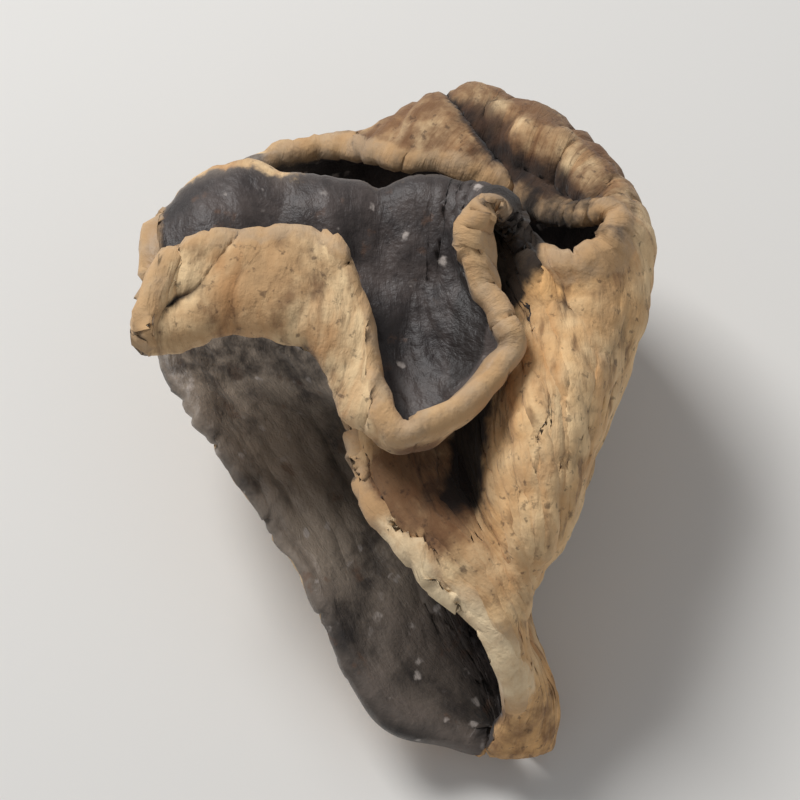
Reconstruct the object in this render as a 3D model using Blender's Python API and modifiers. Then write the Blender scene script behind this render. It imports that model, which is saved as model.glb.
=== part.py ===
"""One dried wood ear mushroom: a single crumpled sheet lying on its back.

The ear grew as a cup of thin flesh from a small foot. Ribs run from the foot to the margin. They are
written flat, in millimetres, as (across, along, out): across the ear, along its growth, and out of the
open side. The sheet is lofted through them, thickened, laid down and cut off flat at the foot.
"""

import math

import bmesh
import bpy
import numpy as np
from mathutils import Matrix, Vector, noise

SHEET = 0.9  # thickness of the dried flesh, mm
FOOT_SHEET = 1.4  # thickness where the flesh gathers at the foot, mm
FOOT_REACH = 4.0  # how far up from the foot the sheet is still thicker, mm
FOOT_CENTRE = (4.1, -13.2, -1.3)
FOOT_RADIUS = 1.15
FOOT_RING = (110.0, 10.0, -205.0)  # angles of the front wall's margin, right side and left margin
NECK = (-7.4, 2.1)  # where the neck is narrowest along the growth and how far that reaches, mm
NECK_SIDE = 2.6  # the neck is drawn in towards this far across, mm
NECK_DRAW = 0.42  # share of the width that the neck loses
LEAN = 23.0  # rise of the growth axis when the ear rests on its foot and two lobes, degrees
ROLL = 0.0  # turn about the growth axis in the same rest, degrees
ROWS = 36  # loops from the foot to the margin
BETWEEN = 3  # loops from one rib to the next
EASING = 2  # passes that open the tightest folds
LUMP = 0.35  # depth of the shallow lumps, mm
LUMP_SIZE = 5.0  # distance over which the lumps change, mm
MM = 0.001

# The wall folds outward over its crest and hangs in front as a collar, and the left part rolls up.
COLLAR_LEFT_END = (
    (4.2, -11.4, 1.76), (3.91, -9.9, 3.51), (3.7, -8.8, 4.43), (2.9, -7.5, 4.2), (1.1, -6.4, 4.7),
    (-0.7, -4.7, 4.5), (-1.8, -2.8, 3.7), (-2.1, -0.6, 2.5), (-2.7, 1.4, 1.6), (-4.6, 3.6, 0.9),
    (-7.2, 5.8, 0.7), (-9.0, 7.4, 1.0), (-9.4, 8.3, 1.9), (-9.7, 7.2, 3.2), (-9.9, 5.4, 4.3),
    (-9.9, 3.6, 4.8), (-9.9, 2.6, 5.5), (-9.9, 2.8, 6.4), (-9.9, 4.4, 6.9), (-9.3, 5.8, 6.4),
)
ROLL_LEFT = (
    (4.36, -11.4, 1.71), (4.05, -9.9, 3.41), (3.86, -8.68, 4.33), (3.2, -7.0, 4.5),
    (1.6, -5.8, 4.9), (0.0, -4.2, 4.7), (-1.1, -2.4, 3.8), (-1.4, -0.4, 2.6), (-2.0, 1.8, 1.8),
    (-3.8, 4.4, 1.2), (-6.4, 7.0, 0.9), (-8.0, 8.8, 1.1), (-8.3, 9.8, 2.0), (-8.4, 8.4, 3.2),
    (-8.5, 6.0, 4.2), (-8.6, 3.6, 4.7), (-8.7, 2.5, 5.4), (-8.9, 2.7, 6.3), (-9.1, 4.6, 6.7),
    (-8.4, 6.3, 6.1),
)
ROLL_MIDDLE = (
    (4.52, -11.4, 1.63), (4.19, -9.9, 3.28), (4.02, -8.56, 4.19), (3.4, -6.6, 4.7),
    (2.0, -5.3, 5.0), (0.6, -3.9, 4.7), (-0.4, -2.2, 3.9), (-0.7, -0.2, 2.7), (-1.2, 2.0, 1.9),
    (-2.6, 4.8, 1.4), (-4.8, 7.4, 1.1), (-6.2, 9.2, 1.2), (-6.6, 10.3, 2.1), (-6.6, 9.0, 3.3),
    (-6.5, 6.2, 4.1), (-6.3, 3.9, 4.7), (-6.4, 2.8, 5.6), (-6.7, 3.4, 6.8), (-6.5, 5.2, 6.9),
    (-6.2, 6.9, 6.0),
)
ROLL_RIGHT = (
    (4.68, -11.4, 1.54), (4.32, -9.9, 3.11), (4.18, -8.44, 4.0), (3.6, -6.2, 4.8),
    (2.4, -4.9, 4.9), (1.2, -3.6, 4.6), (0.4, -1.9, 3.9), (0.1, 0.0, 2.8), (-0.3, 2.3, 1.9),
    (-1.4, 5.0, 1.5), (-3.0, 7.2, 1.2), (-4.0, 8.8, 1.3), (-4.2, 9.8, 2.2), (-4.0, 8.8, 3.2),
    (-3.6, 5.8, 3.6), (-3.2, 3.2, 4.2), (-3.2, 1.7, 5.0), (-3.4, 2.0, 6.2), (-3.2, 4.0, 6.6),
    (-3.0, 6.9, 5.4),
)
ROLL_RUNS_OUT = (
    (4.82, -11.4, 1.42), (4.44, -9.9, 2.9), (4.32, -8.32, 3.78), (3.8, -6.0, 4.8),
    (2.7, -4.6, 4.6), (1.8, -3.2, 3.9), (1.2, -1.7, 3.1), (0.9, 0.2, 2.3), (0.5, 2.6, 1.7),
    (-0.4, 5.2, 1.4), (-1.5, 7.2, 1.2), (-2.2, 8.6, 1.4), (-2.3, 9.5, 2.3), (-2.2, 8.6, 3.1),
    (-2.2, 5.8, 3.2), (-2.1, 2.9, 3.6), (-2.2, 0.7, 4.3), (-2.3, -0.4, 5.2), (-2.1, 0.8, 6.3),
    (-1.5, 3.3, 5.9),
)
COLLAR_POINT = (
    (4.96, -11.4, 1.28), (4.56, -9.9, 2.67), (4.46, -8.2, 3.52), (4.1, -5.8, 4.8),
    (3.1, -4.4, 4.3), (2.2, -3.0, 3.1), (1.8, -1.5, 2.2), (1.6, 0.4, 1.7), (1.4, 2.8, 1.5),
    (0.7, 5.4, 1.3), (-0.2, 7.4, 1.2), (-0.8, 8.7, 1.5), (-0.9, 9.6, 2.4), (-0.9, 8.6, 3.1),
    (-1.0, 5.8, 3.0), (-0.9, 2.9, 3.2), (-0.7, 0.6, 3.8), (-0.6, -0.9, 4.8), (-0.5, -1.6, 5.8),
    (-0.5, -0.8, 6.5),
)
COLLAR_ARM = (
    (5.09, -11.4, 1.12), (4.67, -9.9, 2.41), (4.59, -8.08, 3.22), (4.4, -5.7, 5.0),
    (3.6, -4.2, 4.9), (2.7, -2.8, 3.5), (2.3, -1.4, 2.3), (2.2, 0.6, 1.8), (2.1, 2.9, 1.6),
    (1.5, 5.4, 1.4), (0.8, 7.4, 1.3), (0.4, 8.7, 1.6), (0.4, 9.6, 2.4), (0.3, 8.5, 3.0),
    (0.1, 5.6, 2.8), (0.1, 3.2, 3.0), (0.5, 1.2, 3.6), (1.2, -0.2, 4.6), (1.6, -0.5, 5.6),
    (1.3, 0.4, 6.4),
)
COLLAR_CORNER = (
    (5.2, -11.4, 0.94), (4.77, -9.9, 2.12), (4.7, -7.96, 2.89), (4.6, -5.6, 5.0),
    (4.1, -4.0, 5.4), (3.5, -2.6, 5.0), (3.1, -1.2, 4.1), (3.0, 0.6, 3.2), (2.9, 2.8, 2.5),
    (2.4, 5.4, 1.8), (1.8, 7.4, 1.5), (1.4, 8.8, 1.7), (1.4, 9.6, 2.5), (1.2, 8.4, 3.1),
    (0.9, 6.2, 3.0), (0.9, 4.6, 3.1), (1.6, 3.0, 3.6), (2.8, 1.9, 4.3), (3.9, 1.5, 5.2),
    (4.1, 2.3, 6.0),
)
COLLAR_HOLLOW = (
    (5.3, -11.4, 0.75), (4.85, -9.9, 1.8), (4.8, -7.84, 2.53), (4.8, -5.4, 5.0), (4.5, -3.8, 5.6),
    (4.1, -2.4, 5.6), (3.8, -1.0, 5.1), (3.7, 0.8, 4.4), (3.6, 3.0, 3.4), (3.2, 5.6, 2.4),
    (2.6, 7.6, 1.9), (2.3, 8.8, 2.0), (2.3, 9.5, 2.7), (2.0, 8.5, 3.4), (1.6, 6.8, 3.4),
    (1.7, 5.4, 3.4), (2.5, 4.4, 3.7), (3.6, 3.7, 4.3), (4.1, 3.7, 5.1), (3.6, 4.2, 5.7),
)
COLLAR_RIGHT = (
    (5.39, -11.4, 0.55), (4.93, -9.9, 1.47), (4.89, -7.72, 2.15), (5.0, -5.2, 5.0),
    (4.9, -3.6, 5.8), (4.6, -2.2, 6.1), (4.4, -0.8, 5.9), (4.4, 1.0, 5.3), (4.2, 3.0, 4.3),
    (3.8, 5.6, 3.1), (3.3, 7.6, 2.3), (3.1, 8.7, 2.3), (3.0, 9.4, 2.9), (2.6, 8.6, 3.8),
    (2.0, 7.3, 3.8), (2.0, 6.4, 3.9), (2.5, 5.8, 4.2), (3.0, 5.6, 4.9), (2.7, 5.8, 5.6),
    (2.1, 6.1, 5.7),
)
COLLAR_TOP = (
    (5.47, -11.4, 0.33), (4.99, -9.9, 1.12), (4.97, -7.6, 1.75), (5.2, -5.1, 4.9),
    (5.3, -3.4, 5.8), (5.3, -1.8, 6.3), (5.2, -0.2, 6.2), (5.1, 1.6, 5.6), (4.8, 3.6, 4.6),
    (4.0, 5.8, 3.4), (3.6, 7.6, 2.5), (3.6, 8.7, 2.6), (3.6, 9.4, 3.4), (3.2, 8.9, 4.2),
    (3.0, 8.3, 4.7), (3.1, 8.0, 5.3), (2.7, 8.2, 5.7),
)
NOTCH = (
    (5.52, -11.4, 0.11), (5.04, -9.9, 0.75), (5.02, -7.48, 1.33), (5.4, -4.9, 4.6),
    (5.7, -3.0, 5.6), (5.9, -1.2, 6.0), (5.8, 0.8, 5.8), (5.6, 2.6, 5.2), (5.2, 4.4, 4.4),
    (4.7, 6.0, 3.5), (4.4, 7.0, 3.2),
)
POCKET_LIP = (
    (5.57, -11.4, -0.12), (5.07, -9.9, 0.37), (5.07, -7.36, 0.89), (5.7, -4.7, 3.8),
    (6.2, -2.6, 4.8), (6.6, -0.6, 5.3), (6.7, 1.4, 5.1), (6.5, 3.2, 4.7), (6.2, 4.8, 4.3),
    (5.9, 5.7, 4.4),
)
# From here the cup's right side, its back and its left side.
RIGHT_FRONT = (
    (5.59, -11.4, -0.36), (5.09, -9.9, -0.01), (5.09, -7.24, 0.45), (5.9, -4.6, 2.4),
    (6.7, -2.4, 3.2), (7.4, 0.0, 3.7), (7.9, 2.4, 3.7), (8.1, 4.4, 3.4), (7.9, 5.9, 3.4),
    (7.3, 6.5, 3.7),
)
RIGHT_SIDE = (
    (5.4, -10.8, -0.7), (5.2, -8.9, -0.5), (5.3, -7.0, -0.2), (6.0, -4.6, 0.0), (7.0, -2.2, 0.2),
    (7.8, 0.2, 0.4), (8.7, 2.8, 0.4), (9.3, 5.6, 0.6), (9.2, 7.8, 1.2), (8.6, 8.4, 2.2),
    (7.8, 7.9, 2.8),
)
RIGHT_BACK = (
    (5.2, -10.8, -1.6), (5.1, -8.9, -1.8), (5.3, -6.8, -2.0), (6.1, -4.2, -2.4), (7.1, -1.4, -2.8),
    (8.1, 1.6, -3.0), (9.0, 5.0, -2.6), (8.9, 8.0, -1.6), (8.1, 9.8, -0.2), (7.3, 9.8, 1.2),
    (6.7, 8.8, 2.0), (6.4, 7.9, 2.2),
)
LOBE_RIGHT_SIDE = (
    (4.9, -10.8, -2.5), (4.8, -8.8, -2.7), (5.0, -6.4, -3.2), (5.6, -3.6, -4.5), (6.4, -0.6, -6.2),
    (6.8, 2.6, -7.6), (7.2, 6.0, -7.6), (7.2, 9.2, -5.2), (6.5, 11.4, -2.4), (5.7, 11.9, -0.6),
    (5.1, 10.8, 0.6), (4.9, 9.4, 1.0), (4.8, 8.6, 1.0),
)
LOBE_RIGHT = (
    (4.4, -10.8, -2.8), (4.1, -8.8, -2.8), (4.0, -6.4, -3.0), (4.2, -3.6, -4.6), (4.5, -0.6, -7.0),
    (4.7, 2.6, -9.2), (4.8, 5.6, -9.8), (4.7, 9.4, -7.4), (4.3, 12.3, -4.0), (3.9, 13.2, -1.8),
    (3.4, 12.4, -0.4), (3.0, 11.0, 0.2), (2.6, 10.0, 0.2),
)
BACK_VALLEY = (
    (3.9, -10.8, -2.9), (3.3, -8.8, -2.5), (2.8, -6.4, -2.3), (2.3, -3.6, -3.2), (1.9, -0.6, -4.8),
    (1.6, 2.8, -6.2), (1.5, 6.4, -6.8), (1.5, 10.0, -6.2), (1.4, 12.6, -4.6), (1.3, 13.4, -2.8),
    (0.9, 12.6, -1.2), (0.2, 11.3, -0.4), (-0.6, 10.4, -0.4),
)
LOBE_LEFT = (
    (3.3, -10.8, -2.8), (2.4, -8.8, -2.3), (1.4, -6.4, -2.0), (0.2, -3.6, -3.2), (-1.2, -0.6, -6.0),
    (-2.2, 2.6, -9.4), (-2.9, 5.6, -11.0), (-3.2, 8.6, -9.6), (-3.2, 10.8, -7.2),
    (-3.1, 11.6, -5.2), (-2.7, 11.4, -3.8),
)
LOBE_LEFT_SIDE = (
    (2.6, -10.8, -2.3), (1.4, -8.6, -1.7), (0.2, -6.0, -1.3), (-1.6, -3.0, -2.2), (-3.8, 0.2, -4.0),
    (-5.6, 3.4, -5.8), (-6.8, 6.8, -6.6), (-7.0, 9.4, -5.2), (-6.8, 10.8, -4.4),
)
LEFT_SIDE = (
    (1.8, -11.4, -1.5), (0.2, -9.8, -0.9), (-1.0, -7.8, -0.5), (-2.6, -5.2, -0.5),
    (-4.6, -2.4, -1.1), (-6.6, 0.4, -2.0), (-8.2, 3.2, -3.0), (-9.2, 6.4, -3.8), (-8.9, 9.0, -4.2),
)
LEFT_MARGIN = (
    (1.4, -12.6, -0.5), (-0.5, -12.2, 0.3), (-1.9, -10.6, 0.8), (-2.9, -8.4, 1.1),
    (-4.0, -6.2, 1.2), (-5.5, -4.0, 1.1), (-7.3, -1.4, 0.8), (-8.9, 0.7, 0.3), (-9.9, 2.8, -0.6),
    (-10.2, 5.2, -1.8),
)
RIBS = (
    COLLAR_LEFT_END, ROLL_LEFT, ROLL_MIDDLE, ROLL_RIGHT, ROLL_RUNS_OUT, COLLAR_POINT, COLLAR_ARM,
    COLLAR_CORNER, COLLAR_HOLLOW, COLLAR_RIGHT, COLLAR_TOP, NOTCH, POCKET_LIP, RIGHT_FRONT,
    RIGHT_SIDE, RIGHT_BACK, LOBE_RIGHT_SIDE, LOBE_RIGHT, BACK_VALLEY, LOBE_LEFT, LOBE_LEFT_SIDE,
    LEFT_SIDE, LEFT_MARGIN,
)


def curve(points, at):
    """Points of the Catmull-Rom curve through these points, at these counts along it."""
    points = np.asarray(points, float)
    at = np.clip(at, 0, len(points) - 1 - 1e-9)
    start = np.floor(at).astype(int)
    t = (at - start)[:, None]
    ends = np.vstack([2 * points[0] - points[1], points, 2 * points[-1] - points[-2]])
    a, b, c, d = (ends[start + k] for k in range(4))
    return 0.5 * (2 * b + (c - a) * t + (2 * a - 5 * b + 4 * c - d) * t**2
                  + (3 * b - a - 3 * c + d) * t**3)


def evenly(points, count):
    """That many points spaced evenly along the curve through these points."""
    fine = curve(points, np.linspace(0, len(points) - 1, 40 * len(points)))
    run = np.r_[0, np.cumsum(np.linalg.norm(np.diff(fine, axis=0), axis=1))]
    at = np.linspace(0, run[-1], count)
    return np.stack([np.interp(at, run, fine[:, k]) for k in range(3)], axis=1)


def necked(x, y, z):
    """The point of a rib, drawn in across the ear if it is in the neck above the foot."""
    drawn = NECK_DRAW * math.exp(-(((y - NECK[0]) / NECK[1]) ** 2))
    return x - drawn * max(0.0, x - NECK_SIDE), y, z


def sheet_points():
    """The middle of the sheet in mm, as columns from rib to rib and rows from the foot to the margin."""
    ribs = []
    for number, rib in enumerate(RIBS):
        at = (0, RIBS.index(RIGHT_FRONT), len(RIBS) - 1)
        angle = math.radians(np.interp(number, at, FOOT_RING))
        x, y, z = FOOT_CENTRE
        start = (x + FOOT_RADIUS * math.cos(angle), y, z + FOOT_RADIUS * math.sin(angle))
        ribs.append(evenly((start, *(necked(*point) for point in rib)), ROWS))
    ribs = np.stack(ribs)
    at = np.linspace(0, len(RIBS) - 1, (len(RIBS) - 1) * BETWEEN + 1)
    return eased(np.stack([curve(ribs[:, row], at) for row in range(ROWS)], axis=1))


def eased(points):
    """The sheet with its tightest folds opened: each point moves halfway to the middle of its neighbours."""
    for _ in range(EASING):
        for first in (0, 1):
            line = np.moveaxis(points, first, 0).copy()
            line[1:-1] = line[1:-1] / 2 + (line[:-2] + line[2:]) / 4
            points = np.moveaxis(line, 0, first)
    return points


def lumped(points):
    """The sheet with shallow lumps, which grow from nothing at the foot."""
    normals = np.cross(np.gradient(points, axis=0), np.gradient(points, axis=1))
    normals /= np.linalg.norm(normals, axis=2, keepdims=True)
    depth = np.empty(points.shape[:2])
    for place in np.ndindex(depth.shape):
        grown = min(1.0, 2.0 * place[1] / (ROWS - 1))
        depth[place] = LUMP * grown * noise.noise(Vector(points[place] / LUMP_SIZE))
    return points + normals * depth[..., None]


def sheet_object(points):
    """The sheet as an object, thickened both ways from its middle."""
    columns, rows = points.shape[:2]
    mesh = bpy.data.meshes.new("wood_ear")
    form = bmesh.new()
    bmesh.ops.create_grid(form, x_segments=columns - 1, y_segments=rows - 1, size=1)
    weights = form.verts.layers.deform.new()
    for vert in form.verts:
        column = round((vert.co.x + 1) / 2 * (columns - 1))
        row = round((vert.co.y + 1) / 2 * (rows - 1))
        vert.co = points[column, row]
        gathered = max(0.0, 1 - (points[column, row, 1] - FOOT_CENTRE[1]) / FOOT_REACH)
        vert[weights][0] = (SHEET + (FOOT_SHEET - SHEET) * gathered) / FOOT_SHEET
    form.to_mesh(mesh)
    form.free()
    ear = bpy.data.objects.new("wood_ear", mesh)
    ear.vertex_groups.new(name="thickness")
    thicken = ear.modifiers.new("thickness", "SOLIDIFY")
    thicken.thickness = FOOT_SHEET
    thicken.offset = 0
    thicken.vertex_group = "thickness"
    return ear


def lay_down(ear):
    """Lays the thickened ear on the floor, cuts its foot flat there and centres it over the origin."""
    graph = bpy.context.evaluated_depsgraph_get()
    solid = bpy.data.meshes.new_from_object(ear.evaluated_get(graph))
    ear.modifiers.clear()
    ear.vertex_groups.clear()
    form = bmesh.new()
    form.from_mesh(solid)
    lean = Matrix.Rotation(math.radians(LEAN), 3, "X")
    roll = Matrix.Rotation(math.radians(ROLL), 3, "Y")
    bmesh.ops.transform(form, verts=form.verts, matrix=(lean @ roll * MM).to_4x4())
    floor = min(vert.co.z for vert in form.verts if vert.co.y > 0)
    cut = bmesh.ops.bisect_plane(form, geom=form.verts[:] + form.edges[:] + form.faces[:],
                                 plane_co=(0, 0, floor), plane_no=(0, 0, -1), clear_outer=True)
    edges = [item for item in cut["geom_cut"] if isinstance(item, bmesh.types.BMEdge)]
    bmesh.ops.edgeloop_fill(form, edges=edges)
    bmesh.ops.triangulate(form, faces=form.faces[:])
    bmesh.ops.recalc_face_normals(form, faces=form.faces[:])
    low = [min(vert.co[axis] for vert in form.verts) for axis in range(3)]
    high = [max(vert.co[axis] for vert in form.verts) for axis in range(3)]
    centre = Vector(((low[0] + high[0]) / 2, (low[1] + high[1]) / 2, low[2]))
    bmesh.ops.translate(form, verts=form.verts, vec=-centre)
    form.to_mesh(solid)
    form.free()
    ear.data = solid


def flesh():
    material = bpy.data.materials.new("dried flesh")
    material.use_nodes = True
    shader = material.node_tree.nodes["Principled BSDF"]
    shader.inputs["Base Color"].default_value = (0.13, 0.1, 0.07, 1)
    shader.inputs["Roughness"].default_value = 0.75
    return material


def main():
    for old in list(bpy.data.objects):
        bpy.data.objects.remove(old)
    group = bpy.data.collections.new("dried wood ear")
    bpy.context.scene.collection.children.link(group)
    ear = sheet_object(lumped(sheet_points()))
    group.objects.link(ear)
    lay_down(ear)
    ear.data.materials.append(flesh())


main()
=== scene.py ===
"""Looks of one dried wood ear mushroom, a single crumpled sheet of flesh lying on its back.

The ear is dark and satin on its inner, spore-bearing face and tan and felted on its outer face. The
sheet is lofted through ribs that run from the cut foot to the margin, wrinkled as drying flesh
wrinkles, and given its thickness, a swollen rounded rim and two faces.
"""

import logging
import math
from dataclasses import dataclass
from enum import Enum
from typing import Any

import bmesh
import bpy
import numpy as np
from mathutils import Matrix, Vector, noise


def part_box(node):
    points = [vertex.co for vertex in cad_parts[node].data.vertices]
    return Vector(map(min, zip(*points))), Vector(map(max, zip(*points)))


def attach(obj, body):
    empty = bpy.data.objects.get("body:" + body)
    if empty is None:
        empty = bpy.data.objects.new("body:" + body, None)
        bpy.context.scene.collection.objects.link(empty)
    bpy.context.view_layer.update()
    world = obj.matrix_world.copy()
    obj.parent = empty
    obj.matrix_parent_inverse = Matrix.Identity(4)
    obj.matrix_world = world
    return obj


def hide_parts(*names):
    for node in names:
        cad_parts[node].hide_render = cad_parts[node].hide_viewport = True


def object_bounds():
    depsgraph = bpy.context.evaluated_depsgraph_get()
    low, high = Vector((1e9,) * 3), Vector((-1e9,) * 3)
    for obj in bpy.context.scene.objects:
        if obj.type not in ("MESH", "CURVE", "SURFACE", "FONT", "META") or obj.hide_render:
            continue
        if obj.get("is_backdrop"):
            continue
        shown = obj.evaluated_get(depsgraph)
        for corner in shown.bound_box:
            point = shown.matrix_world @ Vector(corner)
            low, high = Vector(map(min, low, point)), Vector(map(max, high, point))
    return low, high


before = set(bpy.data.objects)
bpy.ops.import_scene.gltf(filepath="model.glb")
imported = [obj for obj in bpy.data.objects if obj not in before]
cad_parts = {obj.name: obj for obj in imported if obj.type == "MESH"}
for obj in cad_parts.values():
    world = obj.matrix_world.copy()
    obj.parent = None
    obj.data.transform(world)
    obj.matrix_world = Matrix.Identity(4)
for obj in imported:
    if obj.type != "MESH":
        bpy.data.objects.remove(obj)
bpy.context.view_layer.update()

LOG = logging.getLogger("wood_ear")
MM = 0.001

# The wall folds outward over its crest and hangs in front as a collar, and the left part rolls up.
COLLAR_LEFT_END = (
    (4.2, -11.4, 1.76), (3.91, -9.9, 3.51), (3.7, -8.8, 4.43), (2.9, -7.5, 4.2), (1.1, -6.4, 4.7),
    (-0.7, -4.7, 4.5), (-1.8, -2.8, 3.7), (-2.1, -0.6, 2.5), (-2.7, 1.4, 1.6), (-4.6, 3.6, 0.9),
    (-7.2, 5.8, 0.7), (-9.0, 7.4, 1.0), (-9.4, 8.3, 1.9), (-9.7, 7.2, 3.2), (-9.9, 5.4, 4.3),
    (-9.9, 3.6, 4.8), (-9.9, 2.6, 5.5), (-9.9, 2.8, 6.4), (-9.9, 4.4, 6.9), (-9.3, 5.8, 6.4),
)
ROLL_LEFT = (
    (4.36, -11.4, 1.71), (4.05, -9.9, 3.41), (3.86, -8.68, 4.33), (3.2, -7.0, 4.5),
    (1.6, -5.8, 4.9), (0.0, -4.2, 4.7), (-1.1, -2.4, 3.8), (-1.4, -0.4, 2.6), (-2.0, 1.8, 1.8),
    (-3.8, 4.4, 1.2), (-6.4, 7.0, 0.9), (-8.0, 8.8, 1.1), (-8.3, 9.8, 2.0), (-8.4, 8.4, 3.2),
    (-8.5, 6.0, 4.2), (-8.6, 3.6, 4.7), (-8.7, 2.5, 5.4), (-8.9, 2.7, 6.3), (-9.1, 4.6, 6.7),
    (-8.4, 6.3, 6.1),
)
ROLL_MIDDLE = (
    (4.52, -11.4, 1.63), (4.19, -9.9, 3.28), (4.02, -8.56, 4.19), (3.4, -6.6, 4.7),
    (2.0, -5.3, 5.0), (0.6, -3.9, 4.7), (-0.4, -2.2, 3.9), (-0.7, -0.2, 2.7), (-1.2, 2.0, 1.9),
    (-2.6, 4.8, 1.4), (-4.8, 7.4, 1.1), (-6.2, 9.2, 1.2), (-6.6, 10.3, 2.1), (-6.6, 9.0, 3.3),
    (-6.5, 6.2, 4.1), (-6.3, 3.9, 4.7), (-6.4, 2.8, 5.6), (-6.7, 3.4, 6.8), (-6.5, 5.2, 6.9),
    (-6.2, 6.9, 6.0),
)
ROLL_RIGHT = (
    (4.68, -11.4, 1.54), (4.32, -9.9, 3.11), (4.18, -8.44, 4.0), (3.6, -6.2, 4.8),
    (2.4, -4.9, 4.9), (1.2, -3.6, 4.6), (0.4, -1.9, 3.9), (0.1, 0.0, 2.8), (-0.3, 2.3, 1.9),
    (-1.4, 5.0, 1.5), (-3.0, 7.2, 1.2), (-4.0, 8.8, 1.3), (-4.2, 9.8, 2.2), (-4.0, 8.8, 3.2),
    (-3.6, 5.8, 3.6), (-3.2, 3.2, 4.2), (-3.2, 1.7, 5.0), (-3.4, 2.0, 6.2), (-3.2, 4.0, 6.6),
    (-3.0, 6.9, 5.4),
)
ROLL_RUNS_OUT = (
    (4.82, -11.4, 1.42), (4.44, -9.9, 2.9), (4.32, -8.32, 3.78), (3.8, -6.0, 4.8),
    (2.7, -4.6, 4.6), (1.8, -3.2, 3.9), (1.2, -1.7, 3.1), (0.9, 0.2, 2.3), (0.5, 2.6, 1.7),
    (-0.4, 5.2, 1.4), (-1.5, 7.2, 1.2), (-2.2, 8.6, 1.4), (-2.3, 9.5, 2.3), (-2.2, 8.6, 3.1),
    (-2.2, 5.8, 3.2), (-2.1, 2.9, 3.6), (-2.2, 0.7, 4.3), (-2.3, -0.4, 5.2), (-2.1, 0.8, 6.3),
    (-1.5, 3.3, 5.9),
)
COLLAR_POINT = (
    (4.96, -11.4, 1.28), (4.56, -9.9, 2.67), (4.46, -8.2, 3.52), (4.1, -5.8, 4.8),
    (3.1, -4.4, 4.3), (2.2, -3.0, 3.1), (1.8, -1.5, 2.2), (1.6, 0.4, 1.7), (1.4, 2.8, 1.5),
    (0.7, 5.4, 1.3), (-0.2, 7.4, 1.2), (-0.8, 8.7, 1.5), (-0.9, 9.6, 2.4), (-0.9, 8.6, 3.1),
    (-1.0, 5.8, 3.0), (-0.9, 2.9, 3.2), (-0.7, 0.6, 3.8), (-0.6, -0.9, 4.8), (-0.5, -1.6, 5.8),
    (-0.5, -0.8, 6.5),
)
COLLAR_ARM = (
    (5.09, -11.4, 1.12), (4.67, -9.9, 2.41), (4.59, -8.08, 3.22), (4.4, -5.7, 5.0),
    (3.6, -4.2, 4.9), (2.7, -2.8, 3.5), (2.3, -1.4, 2.3), (2.2, 0.6, 1.8), (2.1, 2.9, 1.6),
    (1.5, 5.4, 1.4), (0.8, 7.4, 1.3), (0.4, 8.7, 1.6), (0.4, 9.6, 2.4), (0.3, 8.5, 3.0),
    (0.1, 5.6, 2.8), (0.1, 3.2, 3.0), (0.5, 1.2, 3.6), (1.2, -0.2, 4.6), (1.6, -0.5, 5.6),
    (1.3, 0.4, 6.4),
)
COLLAR_CORNER = (
    (5.2, -11.4, 0.94), (4.77, -9.9, 2.12), (4.7, -7.96, 2.89), (4.6, -5.6, 5.0),
    (4.1, -4.0, 5.4), (3.5, -2.6, 5.0), (3.1, -1.2, 4.1), (3.0, 0.6, 3.2), (2.9, 2.8, 2.5),
    (2.4, 5.4, 1.8), (1.8, 7.4, 1.5), (1.4, 8.8, 1.7), (1.4, 9.6, 2.5), (1.2, 8.4, 3.1),
    (0.9, 6.2, 3.0), (0.9, 4.6, 3.1), (1.6, 3.0, 3.6), (2.8, 1.9, 4.3), (3.9, 1.5, 5.2),
    (4.1, 2.3, 6.0),
)
COLLAR_HOLLOW = (
    (5.3, -11.4, 0.75), (4.85, -9.9, 1.8), (4.8, -7.84, 2.53), (4.8, -5.4, 5.0), (4.5, -3.8, 5.6),
    (4.1, -2.4, 5.6), (3.8, -1.0, 5.1), (3.7, 0.8, 4.4), (3.6, 3.0, 3.4), (3.2, 5.6, 2.4),
    (2.6, 7.6, 1.9), (2.3, 8.8, 2.0), (2.3, 9.5, 2.7), (2.0, 8.5, 3.4), (1.6, 6.8, 3.4),
    (1.7, 5.4, 3.4), (2.5, 4.4, 3.7), (3.6, 3.7, 4.3), (4.1, 3.7, 5.1), (3.6, 4.2, 5.7),
)
COLLAR_RIGHT = (
    (5.39, -11.4, 0.55), (4.93, -9.9, 1.47), (4.89, -7.72, 2.15), (5.0, -5.2, 5.0),
    (4.9, -3.6, 5.8), (4.6, -2.2, 6.1), (4.4, -0.8, 5.9), (4.4, 1.0, 5.3), (4.2, 3.0, 4.3),
    (3.8, 5.6, 3.1), (3.3, 7.6, 2.3), (3.1, 8.7, 2.3), (3.0, 9.4, 2.9), (2.6, 8.6, 3.8),
    (2.0, 7.3, 3.8), (2.0, 6.4, 3.9), (2.5, 5.8, 4.2), (3.0, 5.6, 4.9), (2.7, 5.8, 5.6),
    (2.1, 6.1, 5.7),
)
COLLAR_TOP = (
    (5.47, -11.4, 0.33), (4.99, -9.9, 1.12), (4.97, -7.6, 1.75), (5.2, -5.1, 4.9),
    (5.3, -3.4, 5.8), (5.3, -1.8, 6.3), (5.2, -0.2, 6.2), (5.1, 1.6, 5.6), (4.8, 3.6, 4.6),
    (4.0, 5.8, 3.4), (3.6, 7.6, 2.5), (3.6, 8.7, 2.6), (3.6, 9.4, 3.4), (3.2, 8.9, 4.2),
    (3.0, 8.3, 4.7), (3.1, 8.0, 5.3), (2.7, 8.2, 5.7),
)
NOTCH = (
    (5.52, -11.4, 0.11), (5.04, -9.9, 0.75), (5.02, -7.48, 1.33), (5.4, -4.9, 4.6),
    (5.7, -3.0, 5.6), (5.9, -1.2, 6.0), (5.8, 0.8, 5.8), (5.6, 2.6, 5.2), (5.2, 4.4, 4.4),
    (4.7, 6.0, 3.5), (4.4, 7.0, 3.2),
)
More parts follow.
